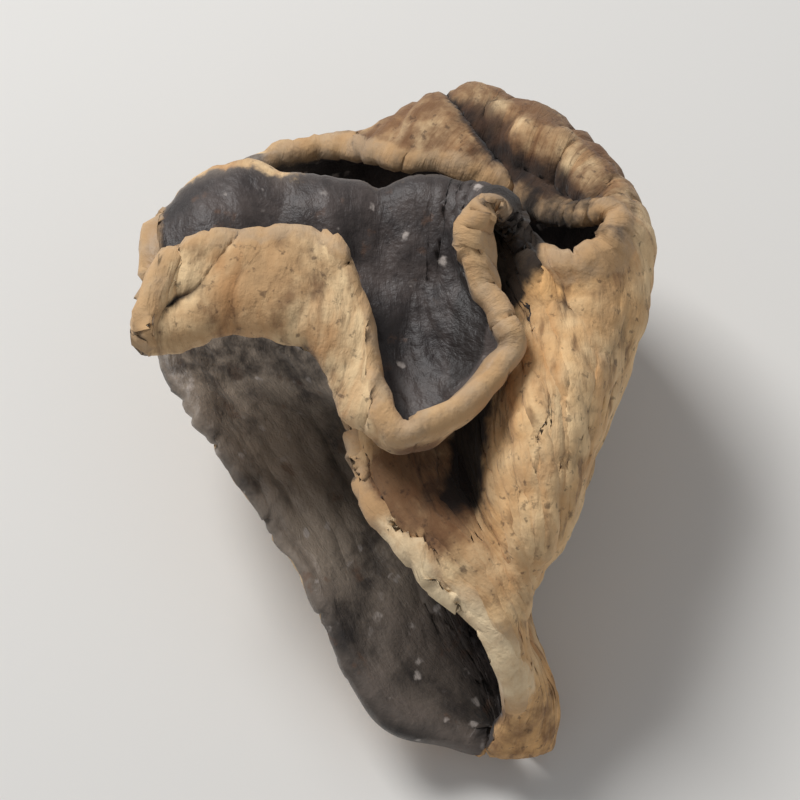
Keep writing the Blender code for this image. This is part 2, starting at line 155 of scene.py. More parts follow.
POCKET_LIP = (
    (5.57, -11.4, -0.12), (5.07, -9.9, 0.37), (5.07, -7.36, 0.89), (5.7, -4.7, 3.8),
    (6.2, -2.6, 4.8), (6.6, -0.6, 5.3), (6.7, 1.4, 5.1), (6.5, 3.2, 4.7), (6.2, 4.8, 4.3),
    (5.9, 5.7, 4.4),
)
# From here the cup's right side, its back and its left side.
RIGHT_FRONT = (
    (5.59, -11.4, -0.36), (5.09, -9.9, -0.01), (5.09, -7.24, 0.45), (5.9, -4.6, 2.4),
    (6.7, -2.4, 3.2), (7.4, 0.0, 3.7), (7.9, 2.4, 3.7), (8.1, 4.4, 3.4), (7.9, 5.9, 3.4),
    (7.3, 6.5, 3.7),
)
RIGHT_SIDE = (
    (5.4, -10.8, -0.7), (5.2, -8.9, -0.5), (5.3, -7.0, -0.2), (6.0, -4.6, 0.0), (7.0, -2.2, 0.2),
    (7.8, 0.2, 0.4), (8.7, 2.8, 0.4), (9.3, 5.6, 0.6), (9.2, 7.8, 1.2), (8.6, 8.4, 2.2),
    (7.8, 7.9, 2.8),
)
RIGHT_BACK = (
    (5.2, -10.8, -1.6), (5.1, -8.9, -1.8), (5.3, -6.8, -2.0), (6.1, -4.2, -2.4), (7.1, -1.4, -2.8),
    (8.1, 1.6, -3.0), (9.0, 5.0, -2.6), (8.9, 8.0, -1.6), (8.1, 9.8, -0.2), (7.3, 9.8, 1.2),
    (6.7, 8.8, 2.0), (6.4, 7.9, 2.2),
)
LOBE_RIGHT_SIDE = (
    (4.9, -10.8, -2.5), (4.8, -8.8, -2.7), (5.0, -6.4, -3.2), (5.6, -3.6, -4.5), (6.4, -0.6, -6.2),
    (6.8, 2.6, -7.6), (7.2, 6.0, -7.6), (7.2, 9.2, -5.2), (6.5, 11.4, -2.4), (5.7, 11.9, -0.6),
    (5.1, 10.8, 0.6), (4.9, 9.4, 1.0), (4.8, 8.6, 1.0),
)
LOBE_RIGHT = (
    (4.4, -10.8, -2.8), (4.1, -8.8, -2.8), (4.0, -6.4, -3.0), (4.2, -3.6, -4.6), (4.5, -0.6, -7.0),
    (4.7, 2.6, -9.2), (4.8, 5.6, -9.8), (4.7, 9.4, -7.4), (4.3, 12.3, -4.0), (3.9, 13.2, -1.8),
    (3.4, 12.4, -0.4), (3.0, 11.0, 0.2), (2.6, 10.0, 0.2),
)
BACK_VALLEY = (
    (3.9, -10.8, -2.9), (3.3, -8.8, -2.5), (2.8, -6.4, -2.3), (2.3, -3.6, -3.2), (1.9, -0.6, -4.8),
    (1.6, 2.8, -6.2), (1.5, 6.4, -6.8), (1.5, 10.0, -6.2), (1.4, 12.6, -4.6), (1.3, 13.4, -2.8),
    (0.9, 12.6, -1.2), (0.2, 11.3, -0.4), (-0.6, 10.4, -0.4),
)
LOBE_LEFT = (
    (3.3, -10.8, -2.8), (2.4, -8.8, -2.3), (1.4, -6.4, -2.0), (0.2, -3.6, -3.2), (-1.2, -0.6, -6.0),
    (-2.2, 2.6, -9.4), (-2.9, 5.6, -11.0), (-3.2, 8.6, -9.6), (-3.2, 10.8, -7.2),
    (-3.1, 11.6, -5.2), (-2.7, 11.4, -3.8),
)
LOBE_LEFT_SIDE = (
    (2.6, -10.8, -2.3), (1.4, -8.6, -1.7), (0.2, -6.0, -1.3), (-1.6, -3.0, -2.2), (-3.8, 0.2, -4.0),
    (-5.6, 3.4, -5.8), (-6.8, 6.8, -6.6), (-7.0, 9.4, -5.2), (-6.8, 10.8, -4.4),
)
LEFT_SIDE = (
    (1.8, -11.4, -1.5), (0.2, -9.8, -0.9), (-1.0, -7.8, -0.5), (-2.6, -5.2, -0.5),
    (-4.6, -2.4, -1.1), (-6.6, 0.4, -2.0), (-8.2, 3.2, -3.0), (-9.2, 6.4, -3.8), (-8.9, 9.0, -4.2),
)
LEFT_MARGIN = (
    (1.4, -12.6, -0.5), (-0.5, -12.2, 0.3), (-1.9, -10.6, 0.8), (-2.9, -8.4, 1.1),
    (-4.0, -6.2, 1.2), (-5.5, -4.0, 1.1), (-7.3, -1.4, 0.8), (-8.9, 0.7, 0.3), (-9.9, 2.8, -0.6),
    (-10.2, 5.2, -1.8),
)
RIBS = (
    COLLAR_LEFT_END, ROLL_LEFT, ROLL_MIDDLE, ROLL_RIGHT, ROLL_RUNS_OUT, COLLAR_POINT, COLLAR_ARM,
    COLLAR_CORNER, COLLAR_HOLLOW, COLLAR_RIGHT, COLLAR_TOP, NOTCH, POCKET_LIP, RIGHT_FRONT,
    RIGHT_SIDE, RIGHT_BACK, LOBE_RIGHT_SIDE, LOBE_RIGHT, BACK_VALLEY, LOBE_LEFT, LOBE_LEFT_SIDE,
    LEFT_SIDE, LEFT_MARGIN,
)

Socket = bpy.types.NodeSocket
Edge = tuple[float, float] | None


def linear(hex_colour: str) -> tuple[float, float, float, float]:
    """Turns an sRGB hex value to linear light.

    Args:
        hex_colour: Six hex digits after a hash sign.

    Returns:
        Red, green, blue and an alpha of 1.
    """
    parts = [int(hex_colour[k:k + 2], 16) / 255 for k in (1, 3, 5)]
    red, green, blue = (p / 12.92 if p <= 0.04045 else ((p + 0.055) / 1.055) ** 2.4 for p in parts)
    return red, green, blue, 1.0


def add_node(tree: bpy.types.NodeTree, kind: str, inputs: dict[Any, Any] | None = None,
             **settings: Any) -> bpy.types.Node:
    """Adds a node with its settings, and links or sets its inputs.

    Args:
        tree: The node tree that gets the node.
        kind: The node's Blender type.
        inputs: Values or output sockets by input name or number.
        **settings: Attributes of the node.

    Returns:
        The new node.
    """
    node = tree.nodes.new(kind)
    for name, value in settings.items():
        setattr(node, name, value)
    for name, value in (inputs or {}).items():
        if isinstance(value, Socket):
            tree.links.new(value, node.inputs[name])
        else:
            node.inputs[name].default_value = value
    return node


def smoothstep(values: np.ndarray, low: float, high: float) -> np.ndarray:
    """Smooth 0 to 1 ramp of the values between low and high."""
    t = np.clip((values - low) / (high - low), 0.0, 1.0)
    return t * t * (3 - 2 * t)


def bell(values: np.ndarray, width: float) -> np.ndarray:
    """1 where the values are 0, falling smoothly to about a third at the width."""
    return np.exp(-((values / width) ** 2))


def curve(points: np.ndarray, at: np.ndarray) -> np.ndarray:
    """Points of a Catmull-Rom curve.

    Args:
        points: What the curve goes through, along the first axis.
        at: Where on the curve, counted in its points.

    Returns:
        One point for each value of at.
    """
    points = np.asarray(points, float)
    at = np.clip(at, 0, len(points) - 1 - 1e-9)
    start = np.floor(at).astype(int)
    t = (at - start).reshape(-1, *[1] * (points.ndim - 1))
    ends = np.concatenate([2 * points[:1] - points[1:2], points, 2 * points[-1:] - points[-2:-1]])
    a, b, c, d = (ends[start + k] for k in range(4))
    return 0.5 * (2 * b + (c - a) * t + (2 * a - 5 * b + 4 * c - d) * t**2
                  + (3 * b - a - 3 * c + d) * t**3)


def evenly(points: np.ndarray, count: int, fineness: int = 40) -> np.ndarray:
    """Points spaced evenly along the curve through some points.

    Args:
        points: What the curve goes through.
        count: How many points to give.
        fineness: How many steps measure the curve between two of its points.

    Returns:
        That many points, the first and last of them the curve's ends.
    """
    fine = curve(points, np.linspace(0, len(points) - 1, fineness * len(points)))
    run = np.r_[0, np.cumsum(np.linalg.norm(np.diff(fine, axis=0), axis=1))]
    at = np.linspace(0, run[-1], count)
    return np.stack([np.interp(at, run, fine[:, k]) for k in range(3)], axis=1)


def noise_at(places: np.ndarray, size: float, shift: float = 0.0) -> np.ndarray:
    """Smooth noise, about -1 to 1.

    Args:
        places: Points in mm, any shape that ends in three.
        size: Distance over which the noise changes, mm.
        shift: Picks another pattern.

    Returns:
        One value for each point.
    """
    flat = (places.reshape(-1, 3) / size + shift).tolist()
    return np.array([noise.noise(Vector(place)) for place in flat]).reshape(places.shape[:-1])


def creased(places: np.ndarray, size: float, shift: float = 0.0) -> np.ndarray:
    """Noise with sharp valleys between round swells, about -1 to 1."""
    return 1.4 * np.abs(noise_at(places, size, shift)) ** 0.7 - 0.55


class Side(Enum):
    """The two faces of the flesh, by the side of the sheet's middle that each is on."""

    INNER = -1.0
    OUTER = 1.0


@dataclass(frozen=True)
class Patch:
    """A region with soft edges, in the frame of growth. An edge is where it starts and ends, mm."""

    left: Edge = None
    right: Edge = None
    lower: Edge = None
    upper: Edge = None
    back: Edge = None
    front: Edge = None

    def share(self, x: np.ndarray, y: np.ndarray, out: np.ndarray) -> np.ndarray:
        """How far inside the region each point is.

        Args:
            x: Across the ear, mm.
            y: Up the ear, from the foot to the margin, mm.
            out: Out of the ear's front, mm.

        Returns:
            0 outside to 1 inside.
        """
        inside = np.ones_like(x)
        for values, rising, falling in ((x, self.left, self.right), (y, self.lower, self.upper),
                                        (out, self.back, self.front)):
            if rising:
                inside = inside * smoothstep(values, *rising)
            if falling:
                inside = inside * (1 - smoothstep(values, *falling))
        return inside


@dataclass(frozen=True)
class WearAndPaintedLight:
    """What age has done to the flesh, and where shade and light are painted on it, from where its
    points lie.

    Each method gives 0 where a thing is missing and 1 where it is full.
    """

    x: np.ndarray
    y: np.ndarray
    out: np.ndarray
    from_foot: np.ndarray
    to_margin: np.ndarray

    def inside(self, patch: Patch) -> np.ndarray:
        """How far inside a region each point is."""
        return patch.share(self.x, self.y, self.out)

    def beside(self, patch: Patch) -> np.ndarray:
        """How far inside a region, whose left and right are measured from the left wall's line."""
        return patch.share(-self.x - 0.35 * self.y, self.y, self.out)

    def across_trough(self) -> np.ndarray:
        """Distance in mm across the trough along the inrolled top, growing to the outside."""
        return (self.x - 2.2) * 0.591 + (self.y - 12.2) * 0.807 + 0.35

    def across_seam(self) -> np.ndarray:
        """Distance in mm across the crease that parts the inrolled top from its front strip."""
        return (self.x - 1.5) * 0.842 + (self.y - 13.2) * 0.54

    def tucked(self) -> np.ndarray:
        """Where the end of the left lobe is tucked in on itself.

        Returns:
            A slanting dent, 1 in its middle.
        """
        along = (self.x + 8.8) * 0.9 + (self.y - 4.4) * 0.43
        over = (self.y - 4.4) * 0.9 - (self.x + 8.8) * 0.43
        return bell(along, 0.75) * bell(over, 0.36) * self.inside(Patch(back=(4.0, 5.0)))

    def dark_rim(self) -> np.ndarray:
        """Where the dark skin runs over the rim, which is thin there.

        Returns:
            The left wall and the foot.
        """
        left = self.beside(Patch(left=(1.6, 3.2), front=(1.9, 3.0)))
        foot = self.inside(Patch(upper=(-9.0, -7.0), front=(1.6, 2.6)))
        return np.clip(left + foot, 0, 1)

    def broad_rim(self) -> np.ndarray:
        """How much further the pale rim reaches beside the flap's top and along the front.

        Returns:
            The extra reach in mm.
        """
        flap = self.inside(Patch(left=(1.2, 2.2), lower=(4.0, 6.5), back=(2.4, 3.4)))
        front = self.inside(Patch(lower=(-10.0, -8.5), upper=(-4.0, -2.8), back=(3.2, 4.0)))
        return flap + 0.45 * front

    def bloomed_and_lit(self) -> np.ndarray:
        """How far the dark skin is greyed by spores, and lifted by painted light where the left wall
        lies in shade.

        Returns:
            Most on the left wall, less at its margin and at the foot.
        """
        wall = self.beside(Patch(left=(0.2, 2.6), front=(1.9, 3.0)))
        wall *= 0.7 + 0.3 * smoothstep(self.to_margin, 0.2, 1.2)
        return wall * (0.3 + 0.7 * smoothstep(self.y, -9.0, -5.0))

    def browned_and_shaded(self) -> np.ndarray:
        """How dark the outer face's tan goes, with painted shade in the hollow below the flap.

        Returns:
            Most on the inrolled top and in the hollow below the flap, some at the foot and behind.
        """
        top = 0.78 + 0.22 * smoothstep(self.across_seam(), -0.3, 0.6)
        top *= self.inside(Patch(left=(-4.0, -2.0), lower=(7.2, 8.6), front=(3.4, 4.4)))
        # Painted highlight: the inrolled top's ridge is kept paler.
        ridge = bell(self.across_trough() - 1.25, 0.55) * self.inside(Patch(left=(1.6, 3.0)))
        top *= 1 - 0.45 * ridge
        foot = 1 - smoothstep(self.from_foot, 1.5, 6.0)
        behind = 1 - smoothstep(self.out, -7.0, -2.0)
        # Painted shade in the hollow below the flap.
        hollow = 1 - smoothstep(np.hypot(self.x - 0.4, (self.y + 2.8) * 0.9), 1.6, 3.0)
        rim = self.inside(Patch(left=(1.2, 2.2), lower=(3.0, 5.0), back=(2.4, 3.4)))
        rim *= 1 - smoothstep(self.to_margin, 1.2, 2.4)
        return np.clip(np.maximum.reduce([top, 0.55 * foot, 0.6 * behind, hollow, 0.45 * rim]), 0, 1)

    def warmed(self) -> np.ndarray:
        """How orange the flesh is.

        Returns:
            Some along the right side, most on the pocket's lip and at the foot.
        """
        column = self.inside(Patch(left=(2.2, 3.4), lower=(-12.0, -9.0), upper=(6.0, 8.0),
                                   back=(-1.5, 0.5)))
        lip = bell(self.x - 5.6, 1.4) * bell(self.y - 5.0, 1.0) * self.inside(Patch(back=(1.5, 3.0)))
        foot = self.inside(Patch(upper=(-11.0, -9.0)))
        return np.clip(np.maximum.reduce([0.45 * column, 0.9 * lip, foot]), 0, 1)

    def painted_highlight(self) -> np.ndarray:
        """Where a painted highlight lies on the flesh.

        Returns:
            Most on the rim that runs down the front, a little on the inrolled top's ridge.
        """
        front = self.inside(Patch(lower=(-11.5, -10.0), upper=(-4.2, -3.2), back=(1.5, 2.5)))
        ridge = self.inside(Patch(left=(1.6, 3.0), lower=(7.5, 9.0), back=(-3.0, -1.0)))
        ridge *= smoothstep(self.across_trough(), 0.9, 1.5)
        rim = 1 - smoothstep(self.to_margin, 0.3, 1.3)
        return np.clip(0.75 * front * rim + 0.22 * ridge, 0, 1)

    def shaded(self) -> np.ndarray:
        """Painted shade in the deep valleys, creases, troughs and pockets, and under the left lobe.

        Returns:
            The strongest of these painted shades at each point.
        """
        x, y = self.x, self.y
        valley = self.inside(Patch(lower=(-4.6, -3.0), upper=(5.0, 7.0), back=(-0.5, 0.8),
                                   front=(4.4, 5.2)))
        valley *= 1 - smoothstep(np.abs(x - 2.3 - 0.1 * (y + 1.5)), 0.5, 1.4)
        slot = self.inside(Patch(left=(2.8, 3.2), lower=(3.6, 5.0), upper=(8.8, 9.4), back=(1.2, 1.9),
                                 front=(4.2, 4.8)))
        slot *= 1 - smoothstep(x - 4.5 - 0.25 * (y - 4.6), -0.4, 0.5)
        seam = bell(self.across_seam(), 0.35) * self.inside(Patch(lower=(9.3, 10.2), front=(2.8, 3.8)))
        trough = self.inside(Patch(left=(1.2, 2.6), lower=(7.2, 8.6), back=(-3.0, -1.0),
                                   front=(2.8, 3.8)))
        trough *= 0.2 + 0.36 * bell(self.across_trough(), 0.85)
        trough *= 1 - smoothstep(self.across_trough(), 0.8, 1.5)
        # Painted shadow under the left lobe.
        under = self.inside(Patch(right=(-2.5, -1.0), lower=(0.2, 1.8), upper=(3.0, 4.0),
                                  front=(2.0, 3.0)))
        pocket = bell((x - 4.0) * 0.3 + (y - 8.4) * 0.954, 0.8)
        pocket *= self.inside(Patch(left=(3.7, 4.3), right=(7.4, 8.6), back=(0.0, 1.0)))
        hook = self.inside(Patch(left=(3.75, 4.05), right=(5.0, 5.6), lower=(5.4, 6.2),
                                 upper=(8.6, 9.1), back=(0.0, 1.0)))
        return np.maximum.reduce([valley, slot, 0.9 * self.tucked(), 0.8 * seam, trough,
                                  0.62 * pocket, 0.9 * hook, 0.45 * under])


@dataclass(frozen=True)
class Grain:
    """A noise in the flesh: the distance over which it changes, mm, and how fine it goes.

    A stretch makes it follow the growth, and says how many changes a mm holds across and along it.
    """

    size: float = 1.0
    detail: float = 4.0
    stretch: tuple[float, float, float] | None = None


@dataclass(frozen=True)
class Mask:
    """Where a tint shows: from low to high of a field, to which a share of a grain is added."""

    low: float
    high: float
    strength: float = 1.0
    grain: Grain | None = None
    share: float = 1.0


@dataclass
class Dye:
    """Lays tints over one another on a piece, whose place is read in mm."""

    tree: bpy.types.NodeTree
    names: tuple[str, ...]

    def __post_init__(self) -> None:
        """Adds the place, the growth and the fields that the masks read."""
        carried = {name: add_node(self.tree, "ShaderNodeAttribute", attribute_name=name)
                   for name in (*self.names, "growth")}
        self.growth: Socket = carried.pop("growth").outputs["Vector"]
        self.fields: dict[str, Socket] = {name: node.outputs["Fac"] for name, node in carried.items()}
        place = add_node(self.tree, "ShaderNodeTexCoord").outputs["Object"]
        self.place: Socket = add_node(self.tree, "ShaderNodeVectorMath", {0: place, "Scale": 1 / MM},
                                      operation="SCALE").outputs[0]
        self.grains: dict[Grain, Socket] = {}

    def grain(self, grain: Grain) -> Socket:
        """The value of a grain.

        Args:
            grain: The noise, which is made once and used again.

        Returns:
            About 0.3 to 0.7, with a mean of a half.
        """
        if grain not in self.grains:
            place = self.place
            if grain.stretch:
                place = add_node(self.tree, "ShaderNodeVectorMath",
                                 {0: self.growth, 1: grain.stretch}, operation="MULTIPLY").outputs[0]
            self.grains[grain] = add_node(
                self.tree, "ShaderNodeTexNoise",
                {"Vector": place, "Scale": 1 / grain.size, "Detail": grain.detail,
                 "Roughness": 0.6}).outputs["Fac"]
        return self.grains[grain]

    def amount(self, mask: Mask, field: Socket | None = None,
               within: Socket | None = None) -> Socket:
        """How much of a tint shows.

        Args:
            mask: Where it shows.
            field: What the mask reads, unless it reads its grain alone.
            within: An amount that this one is kept within.

        Returns:
            0 to the mask's strength.
        """
        value = self.grain(mask.grain) if mask.grain else field
        if mask.grain and field:
            value = add_node(self.tree, "ShaderNodeMath", {0: value, 1: mask.share, 2: field},
                             operation="MULTIPLY_ADD").outputs[0]
        shown = add_node(self.tree, "ShaderNodeMapRange",
                         {0: value, 1: mask.low, 2: mask.high, 4: mask.strength},
                         interpolation_type="SMOOTHSTEP").outputs[0]
        if within:
            shown = add_node(self.tree, "ShaderNodeMath", {0: shown, 1: within},
                             operation="MULTIPLY").outputs[0]
        return shown

    def lay(self, tint: str | Socket, under: str | Socket, amount: Socket) -> Socket:
        """Lays a tint over what is under it.

        Args:
            tint: The new colour.
            under: The colour so far.
            amount: How much of the tint shows.

        Returns:
            The colour of both.
        """
        first, second = (linear(part) if isinstance(part, str) else part for part in (under, tint))
        return add_node(self.tree, "ShaderNodeMix", {0: amount, 6: first, 7: second},
                        data_type="RGBA").outputs[2]


@dataclass(frozen=True)
class FleshFinish:
    """Air-dried wood ear flesh: felted sterile outer face, smooth fertile inner face, pale rim."""

    # Pale tan patches, also painted highlight on the raised folds.
    tan_light: str = "#ebcc9e"
    tan: str = "#c09a6e"
    ochre: str = "#b57d49"
    amber: str = "#edb877"
    # Near white painted highlight for the lit front rim and the inrolled top's ridge.
    painted_highlight: str = "#f3dcb4"
    # Dark tan of the outer face, also laid as painted shade in the hollow below the flap.
    brown_and_shade: str = "#6a4629"
    # Dark mottle, also painted shade in the low folds.
    crease: str = "#352118"
    # Near black painted shade for the creases, valleys, pockets and the underside of the left lobe.
    painted_shade: str = "#1a110d"
    rim: str = "#b69b7c"
    char: str = "#231c1b"
    # Slate patches, also painted highlight on raised wrinkles.
    slate: str = "#504642"
    # Grey of the spores, also painted light on the shaded left wall.
    bloom_and_light: str = "#a09181"
    dust: str = "#b9aea6"
    crumb: str = "#6e4f3a"
    tan_roughness: float = 0.88
    dark_roughness: float = 0.5
    ior: float = 1.45
    sheen: float = 0.08
    sheen_roughness: float = 0.6
    bump: float = 0.9
    bump_depth: float = 0.16 * MM
    wrap: float = 1.35
    ragged: Grain = Grain(0.67)
    felt: Grain = Grain(detail=5.0, stretch=(1.6, 0.55, 1.0))
    # The nap's hairs are under 0.1 mm, too fine to show, so they are drawn 0.17 mm apart.
    fibre: Grain = Grain(stretch=(6.0, 1.5, 1.0))
    streak: Grain = Grain(stretch=(0.8, 0.13, 1.0))
    vein: Grain = Grain(stretch=(2.6, 1.2, 1.0))
    cloud: Grain = Grain(2.4, 5.0)
    spot_size: float = 1.0

    def material(self) -> bpy.types.Material:
        """Builds the material.

        Returns:
            One material for both faces, which tells them apart by what the piece carries.
        """
        # Dried fungus flesh has a matt nap on its outer face, so that side is soft and shows no
        # highlight. The inner face shrinks to a hard skin, which gives it a broad dull gleam.
        material = bpy.data.materials.new("dried_wood_ear_flesh")
        material.use_nodes = True
        tree = material.node_tree
        shader = tree.nodes["Principled BSDF"]
        # Some of these fields carry painted shade, painted highlight and painted light.
        dye = Dye(tree, ("side", "height", "margin", "dark_rim", "bloom_and_light", "brown_and_shade", "shade", "worn",
                         "warm", "highlight"))
        field = dye.fields
        tan, tan_height = self._outer(dye)
        dark, dark_height = self._inner(dye)

        wrapped = add_node(tree, "ShaderNodeMath",
                           {0: field["dark_rim"], 1: -self.wrap, 2: field["side"]},
                           operation="MULTIPLY_ADD").outputs[0]
        outer = add_node(tree, "ShaderNodeMath",
                         {0: dye.amount(Mask(-0.55, -0.2, 1.0, self.ragged, 0.5), wrapped),
                          1: dye.amount(Mask(0.95, 1.35, 1.0, Grain(0.9), 1.1), field["worn"])},
                         operation="MAXIMUM").outputs[0]
        colour = dye.lay(tan, dark, outer)
        pale = dye.amount(Mask(1.0, 0.55, 0.8, self.ragged, 0.9), field["margin"],
                          within=dye.amount(Mask(0.7, 0.2), field["dark_rim"]))
        rim = dye.lay(self.rim, self.tan, dye.amount(Mask(0.38, 0.68, grain=Grain(1.4))))
        colour = dye.lay(rim, colour, pale)
        # A near white painted highlight on the front rim and the ridge, then near black painted shade
        # over the creases and hollows.
        for tint, name, mask in ((self.painted_highlight, "highlight", Mask(0.75, 1.4, 0.85, Grain(0.83), 0.9)),
                                 (self.painted_shade, "shade", Mask(0.6, 1.1, 0.96, Grain(0.77), 0.8))):
            colour = dye.lay(tint, colour, dye.amount(mask, field[name]))
        rough = add_node(tree, "ShaderNodeMapRange",
                         {0: outer, 3: self.dark_roughness, 4: self.tan_roughness}).outputs[0]
        level = add_node(tree, "ShaderNodeMix", {0: outer, 2: dark_height, 3: tan_height},
                         data_type="FLOAT").outputs[0]
        bump = add_node(tree, "ShaderNodeBump", {"Height": level, "Strength": self.bump,
                                                 "Distance": self.bump_depth}).outputs[0]
        for name, socket in (("Base Color", colour), ("Roughness", rough), ("Normal", bump)):
            tree.links.new(socket, shader.inputs[name])
        for name, value in (("IOR", self.ior), ("Sheen Weight", self.sheen),
                            ("Sheen Roughness", self.sheen_roughness)):
            shader.inputs[name].default_value = value
        return material

    def _outer(self, dye: Dye) -> tuple[Socket, Socket]:
        """Colour and fine height of the felted outer face.

        Args:
            dye: What lays the tints.

        Returns:
            The colour and the height.
        """
        brown_and_shade, height = dye.fields["brown_and_shade"], dye.fields["height"]
        highlight_room = add_node(dye.tree, "ShaderNodeMath", {0: brown_and_shade, 1: -0.5, 2: 0.55},
                         operation="MULTIPLY_ADD").outputs[0]
        colour: str | Socket = self.tan
        for tint, mask, *reads in (
                (self.tan_light, Mask(0.36, 0.62, grain=Grain(3.0))),
                (self.ochre, Mask(0.48, 0.66, 0.55, self.streak)),
                (self.amber, Mask(0.6, 1.4, 0.75, Grain(2.2), 0.9), dye.fields["warm"]),
                (self.brown_and_shade, Mask(0.5, 0.7, 0.65, self.felt)),
                # Dark tan, with painted shade in the hollow below the flap and a painted highlight that
                # keeps the ridge paler.
                (self.brown_and_shade, Mask(0.95, 1.75, 0.9, Grain(1.25), 1.5), brown_and_shade),
                # Painted shade darkens the low folds, and a painted highlight lights the raised ones,
                # least on dark and shaded tan.
                (self.crease, Mask(0.52, 0.24, 0.75, self.fibre, 0.3), height),
                (self.tan_light, Mask(0.72, 1.0, 1.0, self.fibre, 0.3), height, highlight_room),
                (self.crease, Mask(0.58, 0.72, 0.6, Grain(0.38, 3.0)))):
            colour = dye.lay(tint, colour, dye.amount(mask, *reads))
        level = add_node(dye.tree, "ShaderNodeMix",
                         {0: 0.5, 2: dye.grain(self.fibre), 3: dye.grain(Grain(0.43, 5.0))},
                         data_type="FLOAT").outputs[0]
        return colour, level

    def _inner(self, dye: Dye) -> tuple[Socket, Socket]:
        """Colour and fine height of the dark inner face.

        Args:
            dye: What lays the tints.

        Returns:
            The colour and the height.
        """
        colour: str | Socket = self.char
        for tint, mask, *reads in (
                (self.slate, Mask(0.36, 0.68, grain=self.cloud)),
                # Painted highlight on the raised wrinkles of the dark skin.
                (self.slate, Mask(0.55, 1.0, 0.5), dye.fields["height"]),
                # Grey of the spores, and painted light that lifts the shaded left wall.
                (self.bloom_and_light, Mask(0.22, 0.56, grain=self.cloud), None, dye.fields["bloom_and_light"]),
                (self.dust, Mask(0.24, 0.1, 0.85), *self._specks(dye)),
                (self.crumb, Mask(0.6, 0.7, 0.5, Grain(1.55, 5.0)))):
            colour = dye.lay(tint, colour, dye.amount(mask, *reads))
        level = add_node(dye.tree, "ShaderNodeMix",
                         {0: 0.55, 2: dye.grain(Grain(0.33)), 3: dye.grain(self.vein)},
                         data_type="FLOAT").outputs[0]
        return colour, level

    def _specks(self, dye: Dye) -> tuple[Socket, Socket]:
        """Ragged specks of dust.

        Args:
            dye: What reads the place and the grains.

        Returns:
            Distance in mm from the middle of the nearest speck, and where there are any.
        """
        place = add_node(dye.tree, "ShaderNodeTexNoise",
                         {"Vector": dye.place, "Scale": 1 / 0.4, "Detail": 2.0}).outputs["Color"]
        for operation, inputs in (("SCALE", {"Scale": 0.5}), ("ADD", {1: dye.place})):
            place = add_node(dye.tree, "ShaderNodeVectorMath", {0: place, **inputs},
                             operation=operation).outputs[0]
        spot = add_node(dye.tree, "ShaderNodeTexVoronoi",
                        {"Vector": place, "Scale": 1 / self.spot_size}).outputs["Distance"]
        some = dye.amount(Mask(0.4, 0.56, grain=Grain(3.0, 3.0)),
                          within=dye.amount(Mask(0.36, 0.5, grain=Grain(0.67, 2.0))))
        return spot, some


@dataclass(frozen=True)
class Relief:
    """Depths, sizes and patterns of what drying does to the flesh, all in mm."""

    lump: float = 0.35
    lump_size: float = 5.0
    fold: float = 0.34
    fold_size: float = 2.4
    wrinkle: float = 0.2
    wrinkle_size: float = 1.5
    bend: float = 0.9
    bend_size: float = 3.0
    vein: float = 0.1
    vein_size: float = 1.7
    trough: float = 0.65
    trough_width: float = 0.75
    trough_pit: float = 0.35
    trough_pit_size: float = 0.9
    seam: float = 0.5
    seam_width: float = 0.4
    tuck: float = 0.5
    felt: float = 0.07
    felt_size: float = 0.8
    pit: float = 0.06
    pit_size: float = 0.9
    cockle: float = 0.06
    cockle_size: float = 1.7
    grit: float = 0.05
    grit_size: float = 0.55
    inner_grit: float = 0.6
    margin_wave: float = 0.6
    margin_wave_size: float = 2.1
    margin_nick: float = 0.9
    margin_nick_size: float = 1.3
    margin_reach: float = 2.4
    rim_uneven: float = 0.39
    rim_uneven_size: float = 1.9


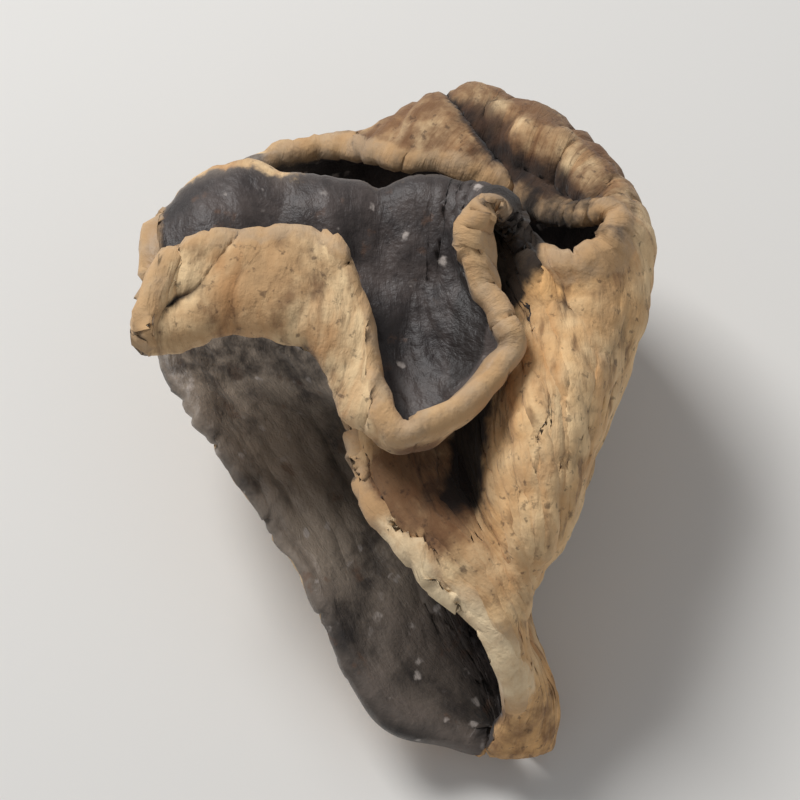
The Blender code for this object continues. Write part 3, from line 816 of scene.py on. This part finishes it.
@dataclass
class WoodEar:
    """The whole ear. Sizes are in mm and degrees, in the frame of growth until it is laid down."""

    sheet: float = 0.9
    foot_sheet: float = 1.4
    foot_reach: float = 4.0
    foot_centre: tuple[float, float, float] = (4.1, -13.2, -1.3)
    foot_radius: float = 1.15
    foot_ring: tuple[float, float, float] = (110.0, 10.0, -205.0)
    neck_along: float = -7.4
    neck_length: float = 1.8
    neck_side: float = 2.6
    neck_draw: float = 0.42
    lean: float = 23.0
    cage_rows: int = 36
    between: int = 3
    easing: int = 2
    columns: int = 352
    rows: int = 131
    rim_cuts: int = 3
    rim_squareness: float = 2.5
    rim_swell: float = 0.22
    rim_thinning: float = 2.2
    rim_reach: float = 0.8
    crest_width: float = 0.5
    crest_shift: float = 0.25
    relief: Relief = Relief()
    finish: FleshFinish = FleshFinish()

    def build(self) -> bpy.types.Object:
        """Builds the ear, dresses it and puts it in the frame.

        Returns:
            The finished piece.
        """
        middle = self._waved(self._refined(self._lumped(self._cage())))
        growth = self._growth(middle)
        height = self._folds(middle, growth)
        middle = middle + self._normals(middle) * height[..., None]
        form = self._slab()
        self._bend(form, middle, growth, height)
        self._lay_down(form)
        mesh = bpy.data.meshes.new("wood_ear_flesh")
        form.to_mesh(mesh)
        form.free()
        for face in mesh.polygons:
            face.use_smooth = True
        mesh.materials.append(self.finish.material())
        ear = bpy.data.objects.new("wood_ear_flesh", mesh)
        bpy.context.scene.collection.objects.link(ear)
        return ear

    def _cage(self) -> np.ndarray:
        """The middle of the sheet as the solid has it.

        Returns:
            Points in columns from the foot to the margin.
        """
        at = (0, RIBS.index(RIGHT_FRONT), len(RIBS) - 1)
        ribs = []
        for number, rib in enumerate(RIBS):
            angle = math.radians(np.interp(number, at, self.foot_ring))
            x, y, z = self.foot_centre
            start = (x + self.foot_radius * math.cos(angle), y, z + self.foot_radius * math.sin(angle))
            ribs.append(evenly((start, *(self._necked(*point) for point in rib)), self.cage_rows))
        points = curve(np.stack(ribs), np.linspace(0, len(RIBS) - 1,
                                                   (len(RIBS) - 1) * self.between + 1))
        for _ in range(self.easing):
            for axis in (0, 1):
                line = np.moveaxis(points, axis, 0).copy()
                line[1:-1] = line[1:-1] / 2 + (line[:-2] + line[2:]) / 4
                points = np.moveaxis(line, 0, axis)
        return points

    def _necked(self, x: float, y: float, z: float) -> tuple[float, float, float]:
        """The point of a rib, drawn in across the ear if it is in the neck above the foot."""
        drawn = self.neck_draw * math.exp(-(((y - self.neck_along) / self.neck_length) ** 2))
        return x - drawn * max(0.0, x - self.neck_side), y, z

    def _lumped(self, points: np.ndarray) -> np.ndarray:
        """Adds the solid's shallow lumps.

        Args:
            points: The cage.

        Returns:
            The cage with lumps that start above the foot.
        """
        grown = np.minimum(1.0, 2.0 * np.arange(points.shape[1]) / (points.shape[1] - 1))
        depth = self.relief.lump * grown * noise_at(points, self.relief.lump_size)
        return points + self._normals(points) * depth[..., None]

    def _refined(self, points: np.ndarray) -> np.ndarray:
        """Gives the cage many more points.

        Args:
            points: The cage.

        Returns:
            The same surface in all the columns and rows of the flesh.
        """
        for count in (self.columns, self.rows):
            points = curve(points, np.linspace(0, points.shape[0] - 1, count))
            points = np.moveaxis(points, 1, 0)
        return points

    @staticmethod
    def _normals(points: np.ndarray) -> np.ndarray:
        """Unit normals of the sheet, towards its outer face."""
        normals = np.cross(np.gradient(points, axis=0), np.gradient(points, axis=1))
        return normals / np.linalg.norm(normals, axis=2, keepdims=True)

    @staticmethod
    def _growth(points: np.ndarray) -> np.ndarray:
        """Where each point would lie on the flat sheet.

        Args:
            points: The sheet, in columns.

        Returns:
            Across at the margin's scale, along from the foot, and in from the margin, mm.
        """
        steps = np.linalg.norm(np.diff(points, axis=1), axis=2)
        along = np.concatenate([np.zeros((len(points), 1)), np.cumsum(steps, axis=1)], axis=1)
        wide = points[:, points.shape[1] * 3 // 5]
        across = np.r_[0, np.cumsum(np.linalg.norm(np.diff(wide, axis=0), axis=1))]
        across = np.repeat(across[:, None], points.shape[1], axis=1)
        sides = np.cumsum(np.linalg.norm(np.diff(points, axis=0), axis=2), axis=0)
        sides = np.concatenate([np.zeros((1, points.shape[1])), sides])
        to_margin = np.minimum(along[:, -1:] - along, np.minimum(sides, sides[-1:] - sides))
        return np.stack([across, along, to_margin], axis=2)

    def _waved(self, points: np.ndarray) -> np.ndarray:
        """Draws the margins in and out along themselves, and nicks them.

        Args:
            points: The sheet, in columns.

        Returns:
            The sheet with its living margins.
        """
        relief = self.relief
        growth = self._growth(points)
        near = 1 - smoothstep(growth[..., 2], 0.0, relief.margin_reach)
        wave = relief.margin_wave * noise_at(points, relief.margin_wave_size, 11.3)
        nick = creased(points, relief.margin_nick_size, 4.7) + 0.25
        nick = relief.margin_nick * np.minimum(0, nick)
        along = np.gradient(points, axis=1)
        along /= np.linalg.norm(along, axis=2, keepdims=True)
        across = np.gradient(points, axis=0)
        across /= np.linalg.norm(across, axis=2, keepdims=True) + 1e-9
        shares = np.linspace(-1, 1, len(points))[:, None, None] ** 9
        out = along * (near * (wave + nick) * smoothstep(growth[..., 1], 14.0, 20.0))[..., None]
        grown = smoothstep(growth[..., 1], 5.0, 10.0)
        out += across * shares * (near * grown * (wave * 0.5 + nick))[..., None]
        return points + out

    def _folds(self, points: np.ndarray, growth: np.ndarray) -> np.ndarray:
        """Height of the drying folds, which both faces share and which run along the growth.

        Args:
            points: The sheet, in columns.
            growth: Place on the flat sheet.

        Returns:
            One height in mm for each point, towards the outer face.
        """
        relief = self.relief
        along = smoothstep(growth[..., 1], 1.0, 10.0)
        bent = relief.bend * noise_at(points, relief.bend_size, 9.0)
        flow = np.stack([growth[..., 0] + bent, growth[..., 1] * 0.3, np.zeros_like(along)], axis=2)
        height = relief.fold * noise_at(points, relief.fold_size, 3.1)
        height += relief.wrinkle * creased(flow, relief.wrinkle_size, 21.0)
        height += relief.vein * creased(points, relief.vein_size, 5.5)
        marks = WearAndPaintedLight(*np.moveaxis(points, 2, 0), growth[..., 1], growth[..., 2])
        top = marks.inside(Patch(lower=(7.2, 8.6), back=(-6.5, -4.5), front=(1.8, 3.0)))
        pits = relief.trough_pit * noise_at(points, relief.trough_pit_size, 2.2)
        trough = bell(marks.across_trough(), relief.trough_width) + pits
        trough *= marks.inside(Patch(left=(1.8, 3.2), back=(-3.0, -1.0)))
        height -= top * (relief.trough * trough + relief.seam * bell(marks.across_seam(),
                                                                     relief.seam_width))
        height -= relief.tuck * marks.tucked()
        return height * (0.3 + 0.7 * along)

    def _skin(self, points: np.ndarray, flow: np.ndarray, side: Side) -> np.ndarray:
        """Height in mm of the small wrinkles that one face has by itself.

        Args:
            points: Points of the sheet.
            flow: The same points on the flat sheet.
            side: Which face.

        Returns:
            One height for each point, outward from that face.
        """
        relief = self.relief
        shift = 40.0 + 10.0 * side.value
        grit = relief.grit * noise_at(points, relief.grit_size, shift)
        if side is Side.INNER:
            return relief.cockle * creased(points, relief.cockle_size, shift) + relief.inner_grit * grit
        long = np.stack([flow[:, 0] * 1.5, flow[:, 1] * 0.5, flow[:, 2] * 0], axis=1)
        return (relief.felt * creased(long, relief.felt_size, shift)
                + relief.pit * creased(points, relief.pit_size, shift) + grit)

    def _slab(self) -> bmesh.types.BMesh:
        """The flesh before it is bent.

        Returns:
            A flat slab, one unit a column and row, from -1 to 1 thick.
        """
        form = bmesh.new()
        bmesh.ops.create_grid(form, x_segments=self.columns - 1, y_segments=self.rows - 1, size=1)
        for vert in form.verts:
            vert.co = ((vert.co.x + 1) / 2 * (self.columns - 1), (vert.co.y + 1) / 2 * (self.rows - 1),
                       Side.INNER.value)
        made = bmesh.ops.extrude_face_region(form, geom=form.faces[:], use_keep_orig=True)
        raised = [item for item in made["geom"] if isinstance(item, bmesh.types.BMVert)]
        bmesh.ops.translate(form, verts=raised, vec=(0, 0, Side.OUTER.value - Side.INNER.value))
        upright = [edge for edge in form.edges
                   if abs(edge.verts[0].co.z - edge.verts[1].co.z) > 1]
        bmesh.ops.subdivide_edges(form, edges=upright, cuts=self.rim_cuts, use_grid_fill=True)
        bmesh.ops.recalc_face_normals(form, faces=form.faces[:])
        return form

    def _bend(self, form: bmesh.types.BMesh, middle: np.ndarray, growth: np.ndarray,
              height: np.ndarray) -> None:
        """Bends the slab to the sheet, with its thickness, rounded rim and the facts for its finish.

        Args:
            form: The flat slab.
            middle: The folded middle of the sheet.
            growth: Place on the flat sheet.
            height: Height of the folds.
        """
        relief = self.relief
        flat = np.array([vert.co[:] for vert in form.verts])
        column, row = np.rint(flat[:, 0]).astype(int), np.rint(flat[:, 1]).astype(int)
        side = flat[:, 2]
        points, place = middle[column, row], growth[column, row]
        marks = WearAndPaintedLight(*points.T, place[:, 1], place[:, 2])
        gathered = np.clip(1 - (points[:, 1] - self.foot_centre[1]) / self.foot_reach, 0, 1)
        half = (self.sheet + (self.foot_sheet - self.sheet) * gathered) / 2
        at_rim = (1 - smoothstep(place[:, 2], 0.0, self.rim_reach)) * (1 - gathered)
        uneven = relief.rim_uneven * noise_at(points, relief.rim_uneven_size, 17.0)
        half *= 1 + at_rim * (self.rim_swell * (1 - self.rim_thinning * marks.dark_rim()) + uneven)
        outer, inner = (self._skin(points, place, face) for face in (Side.OUTER, Side.INNER))
        skin = np.where(side > 0, outer, inner) * np.abs(side) * (1 - 0.6 * gathered)
        outward = self._outward(middle)[column, row]
        power = self.rim_squareness
        round_out = np.clip(1 - np.abs(side) ** power, 0, 1) ** (1 / power) * half
        through = (side * half + np.sign(side) * skin)[:, None]
        bent = points + self._normals(middle)[column, row] * through
        bent += outward * round_out[:, None]
        # The colours read this fold lift as painted shade in low folds and painted highlight on raised
        # ones; fields below also carry painted shade, highlight and light.
        lift = np.clip(0.5 + (height[column, row] * np.sign(side) + 1.6 * skin) / 0.9, 0, 1)
        values = {"side": np.where(row == 0, Side.OUTER.value, side), "height": lift,
                  "margin": place[:, 2] - marks.broad_rim(), "dark_rim": marks.dark_rim(),
                  "bloom_and_light": marks.bloomed_and_lit(), "brown_and_shade": marks.browned_and_shaded(), "shade": marks.shaded(),
                  "worn": self._rubbed(middle, growth)[column, row], "warm": marks.warmed(),
                  "highlight": marks.painted_highlight()}
        layers = {name: form.verts.layers.float.new(name) for name in values}
        grow = form.verts.layers.float_vector.new("growth")
        for number, vert in enumerate(form.verts):
            vert.co = bent[number]
            for name, layer in layers.items():
                vert[layer] = float(values[name][number])
            vert[grow] = (place[number, 0], place[number, 1], side[number])

    @staticmethod
    def _outward(middle: np.ndarray) -> np.ndarray:
        """Directions away from the sheet along its margins.

        Args:
            middle: The middle of the sheet, in columns.

        Returns:
            Unit vectors on the margins and zero elsewhere.
        """
        outward = np.zeros_like(middle)
        outward[0] -= np.gradient(middle, axis=0)[0]
        outward[-1] += np.gradient(middle, axis=0)[-1]
        outward[:, -1] += np.gradient(middle, axis=1)[:, -1]
        return outward / (np.linalg.norm(outward, axis=2, keepdims=True) + 1e-9)

    def _rubbed(self, points: np.ndarray, growth: np.ndarray) -> np.ndarray:
        """Where the dark skin is rubbed to tan: along the crest that the wall folds over.

        Args:
            points: The sheet, in columns.
            growth: Place on the flat sheet.

        Returns:
            0 to 0.9, most at the left.
        """
        x, y = points[..., 0], points[..., 1]
        start = points.shape[1] // 3
        crest = (start + np.argmax(y[:, start:], axis=1))[:, None]
        past = growth[..., 1] - np.take_along_axis(growth[..., 1], crest, axis=1)
        left = 1 - smoothstep(np.take_along_axis(x, crest, axis=1), -6.0, -3.2)
        folded = 1 - smoothstep(np.arange(len(points))[:, None] / len(points), 0.47, 0.5)
        return (0.62 * left + 0.28) * folded * bell(past - self.crest_shift, self.crest_width)

    def _lay_down(self, form: bmesh.types.BMesh) -> None:
        """Lays the ear on its foot and two lobes, cuts the foot flat and centres it as the solid is.

        Args:
            form: The bent flesh.
        """
        turn = Matrix.Rotation(math.radians(self.lean), 3, "X")
        bmesh.ops.transform(form, verts=form.verts, matrix=(turn * MM).to_4x4())
        low, high = ([pick(vert.co[axis] for vert in form.verts) for axis in range(3)]
                     for pick in (min, max))
        floor = min(vert.co.z for vert in form.verts if vert.co.y > 0)
        cut = bmesh.ops.bisect_plane(form, geom=form.verts[:] + form.edges[:] + form.faces[:],
                                     plane_co=(0, 0, floor), plane_no=(0, 0, -1), clear_outer=True)
        edges = [item for item in cut["geom_cut"] if isinstance(item, bmesh.types.BMEdge)]
        filled = bmesh.ops.edgeloop_fill(form, edges=edges)
        bmesh.ops.triangulate(form, faces=filled["faces"])
        solid_low, solid_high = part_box("wood_ear")
        shift = [(solid_low[axis] + solid_high[axis] - low[axis] - high[axis]) / 2 for axis in (0, 1)]
        bmesh.ops.translate(form, verts=form.verts, vec=(*shift, solid_low[2] - floor))
        LOG.info("laid down with a shift of %s", shift)


@dataclass(frozen=True)
class Lamp:
    """A soft area light, by its way from the ear and its distance and width in lengths of the ear."""

    name: str
    direction: tuple[float, float, float]
    distance: float
    width: float
    strength: float


@dataclass
class Studio:
    """A plain pale floor, soft light and the camera. Lengths are in lengths of the ear."""

    floor_colour: str = "#dcdad6"
    floor_roughness: float = 0.9
    floor_width: float = 120.0
    sky_colour: str = "#eef0f4"
    sky_strength: float = 0.33
    lamps: tuple[Lamp, ...] = (Lamp("key", (-0.5, 0.55, 0.95), 6.0, 2.2, 1.12),
                               Lamp("fill", (0.8, -0.5, 0.6), 7.0, 5.0, 0.08))
    watts: float = 8.0
    lens: float = 100.0
    azimuth: float = 0.0
    elevation: float = 67.0
    fill: float = 0.86
    near: float = 0.1
    far: float = 200.0

    def build(self, low: Vector, high: Vector) -> None:
        """Builds the floor, the lights and the camera round the ear.

        Args:
            low: Lowest corner of the ear.
            high: Highest corner of the ear.
        """
        centre = (low + high) / 2
        size = (high - low).length
        self._floor(size)
        for lamp in self.lamps:
            self._light(lamp, centre, size)
        world = bpy.data.worlds.new("sky")
        bpy.context.scene.world = world
        world.use_nodes = True
        background = world.node_tree.nodes["Background"]
        background.inputs["Color"].default_value = linear(self.sky_colour)
        background.inputs["Strength"].default_value = self.sky_strength
        self._camera(centre, size)
        bpy.context.scene.view_settings.view_transform = "Standard"

    def _floor(self, size: float) -> None:
        """Lays a wide floor of matt card.

        Args:
            size: Length of the ear, metres.
        """
        mesh = bpy.data.meshes.new("floor")
        form = bmesh.new()
        bmesh.ops.create_grid(form, x_segments=1, y_segments=1, size=self.floor_width / 2 * size)
        form.to_mesh(mesh)
        form.free()
        # Uncoated card is rough all over, so it takes a soft shadow and shows no reflection.
        material = bpy.data.materials.new("matt_card")
        material.use_nodes = True
        shader = material.node_tree.nodes["Principled BSDF"]
        shader.inputs["Base Color"].default_value = linear(self.floor_colour)
        shader.inputs["Roughness"].default_value = self.floor_roughness
        mesh.materials.append(material)
        floor = bpy.data.objects.new("floor", mesh)
        bpy.context.scene.collection.objects.link(floor)
        floor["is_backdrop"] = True

    def _light(self, lamp: Lamp, centre: Vector, size: float) -> None:
        """Hangs a lamp that faces the ear.

        Args:
            lamp: The lamp.
            centre: Middle of the ear.
            size: Length of the ear, metres.
        """
        data = bpy.data.lights.new(lamp.name, "AREA")
        data.size = lamp.width * size
        data.energy = lamp.strength * self.watts * (lamp.distance * size) ** 2
        light = bpy.data.objects.new(lamp.name, data)
        away = Vector(lamp.direction).normalized()
        light.location = centre + away * lamp.distance * size
        light.rotation_euler = away.to_track_quat("Z", "Y").to_euler()
        bpy.context.scene.collection.objects.link(light)

    def _camera(self, centre: Vector, size: float) -> None:
        """Sets up the camera, which looks down on the ear.

        Args:
            centre: Middle of the ear.
            size: Length of the ear, metres.
        """
        data = bpy.data.cameras.new("camera")
        data.lens = self.lens
        camera = bpy.data.objects.new("camera", data)
        azimuth, elevation = math.radians(self.azimuth), math.radians(self.elevation)
        back = Vector((math.sin(azimuth) * math.cos(elevation),
                       -math.cos(azimuth) * math.cos(elevation), math.sin(elevation)))
        half = math.atan(data.sensor_width / 2 / data.lens)
        camera.location = centre + back * (size * 0.5 * self.fill / math.tan(half))
        camera.rotation_euler = back.to_track_quat("Z", "Y").to_euler()
        data.clip_start = size * self.near
        data.clip_end = size * self.far
        bpy.context.scene.collection.objects.link(camera)
        bpy.context.scene.camera = camera


def main() -> None:
    """Builds the ear and the studio in order, and reports each piece."""
    logging.basicConfig(level=logging.INFO)
    ear = WoodEar().build()
    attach(ear, "root")
    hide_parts("wood_ear")
    LOG.info("%s: %d faces", ear.name, len(ear.data.polygons))
    low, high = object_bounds()
    Studio().build(low, high)


if __name__ == "__main__":
    main()
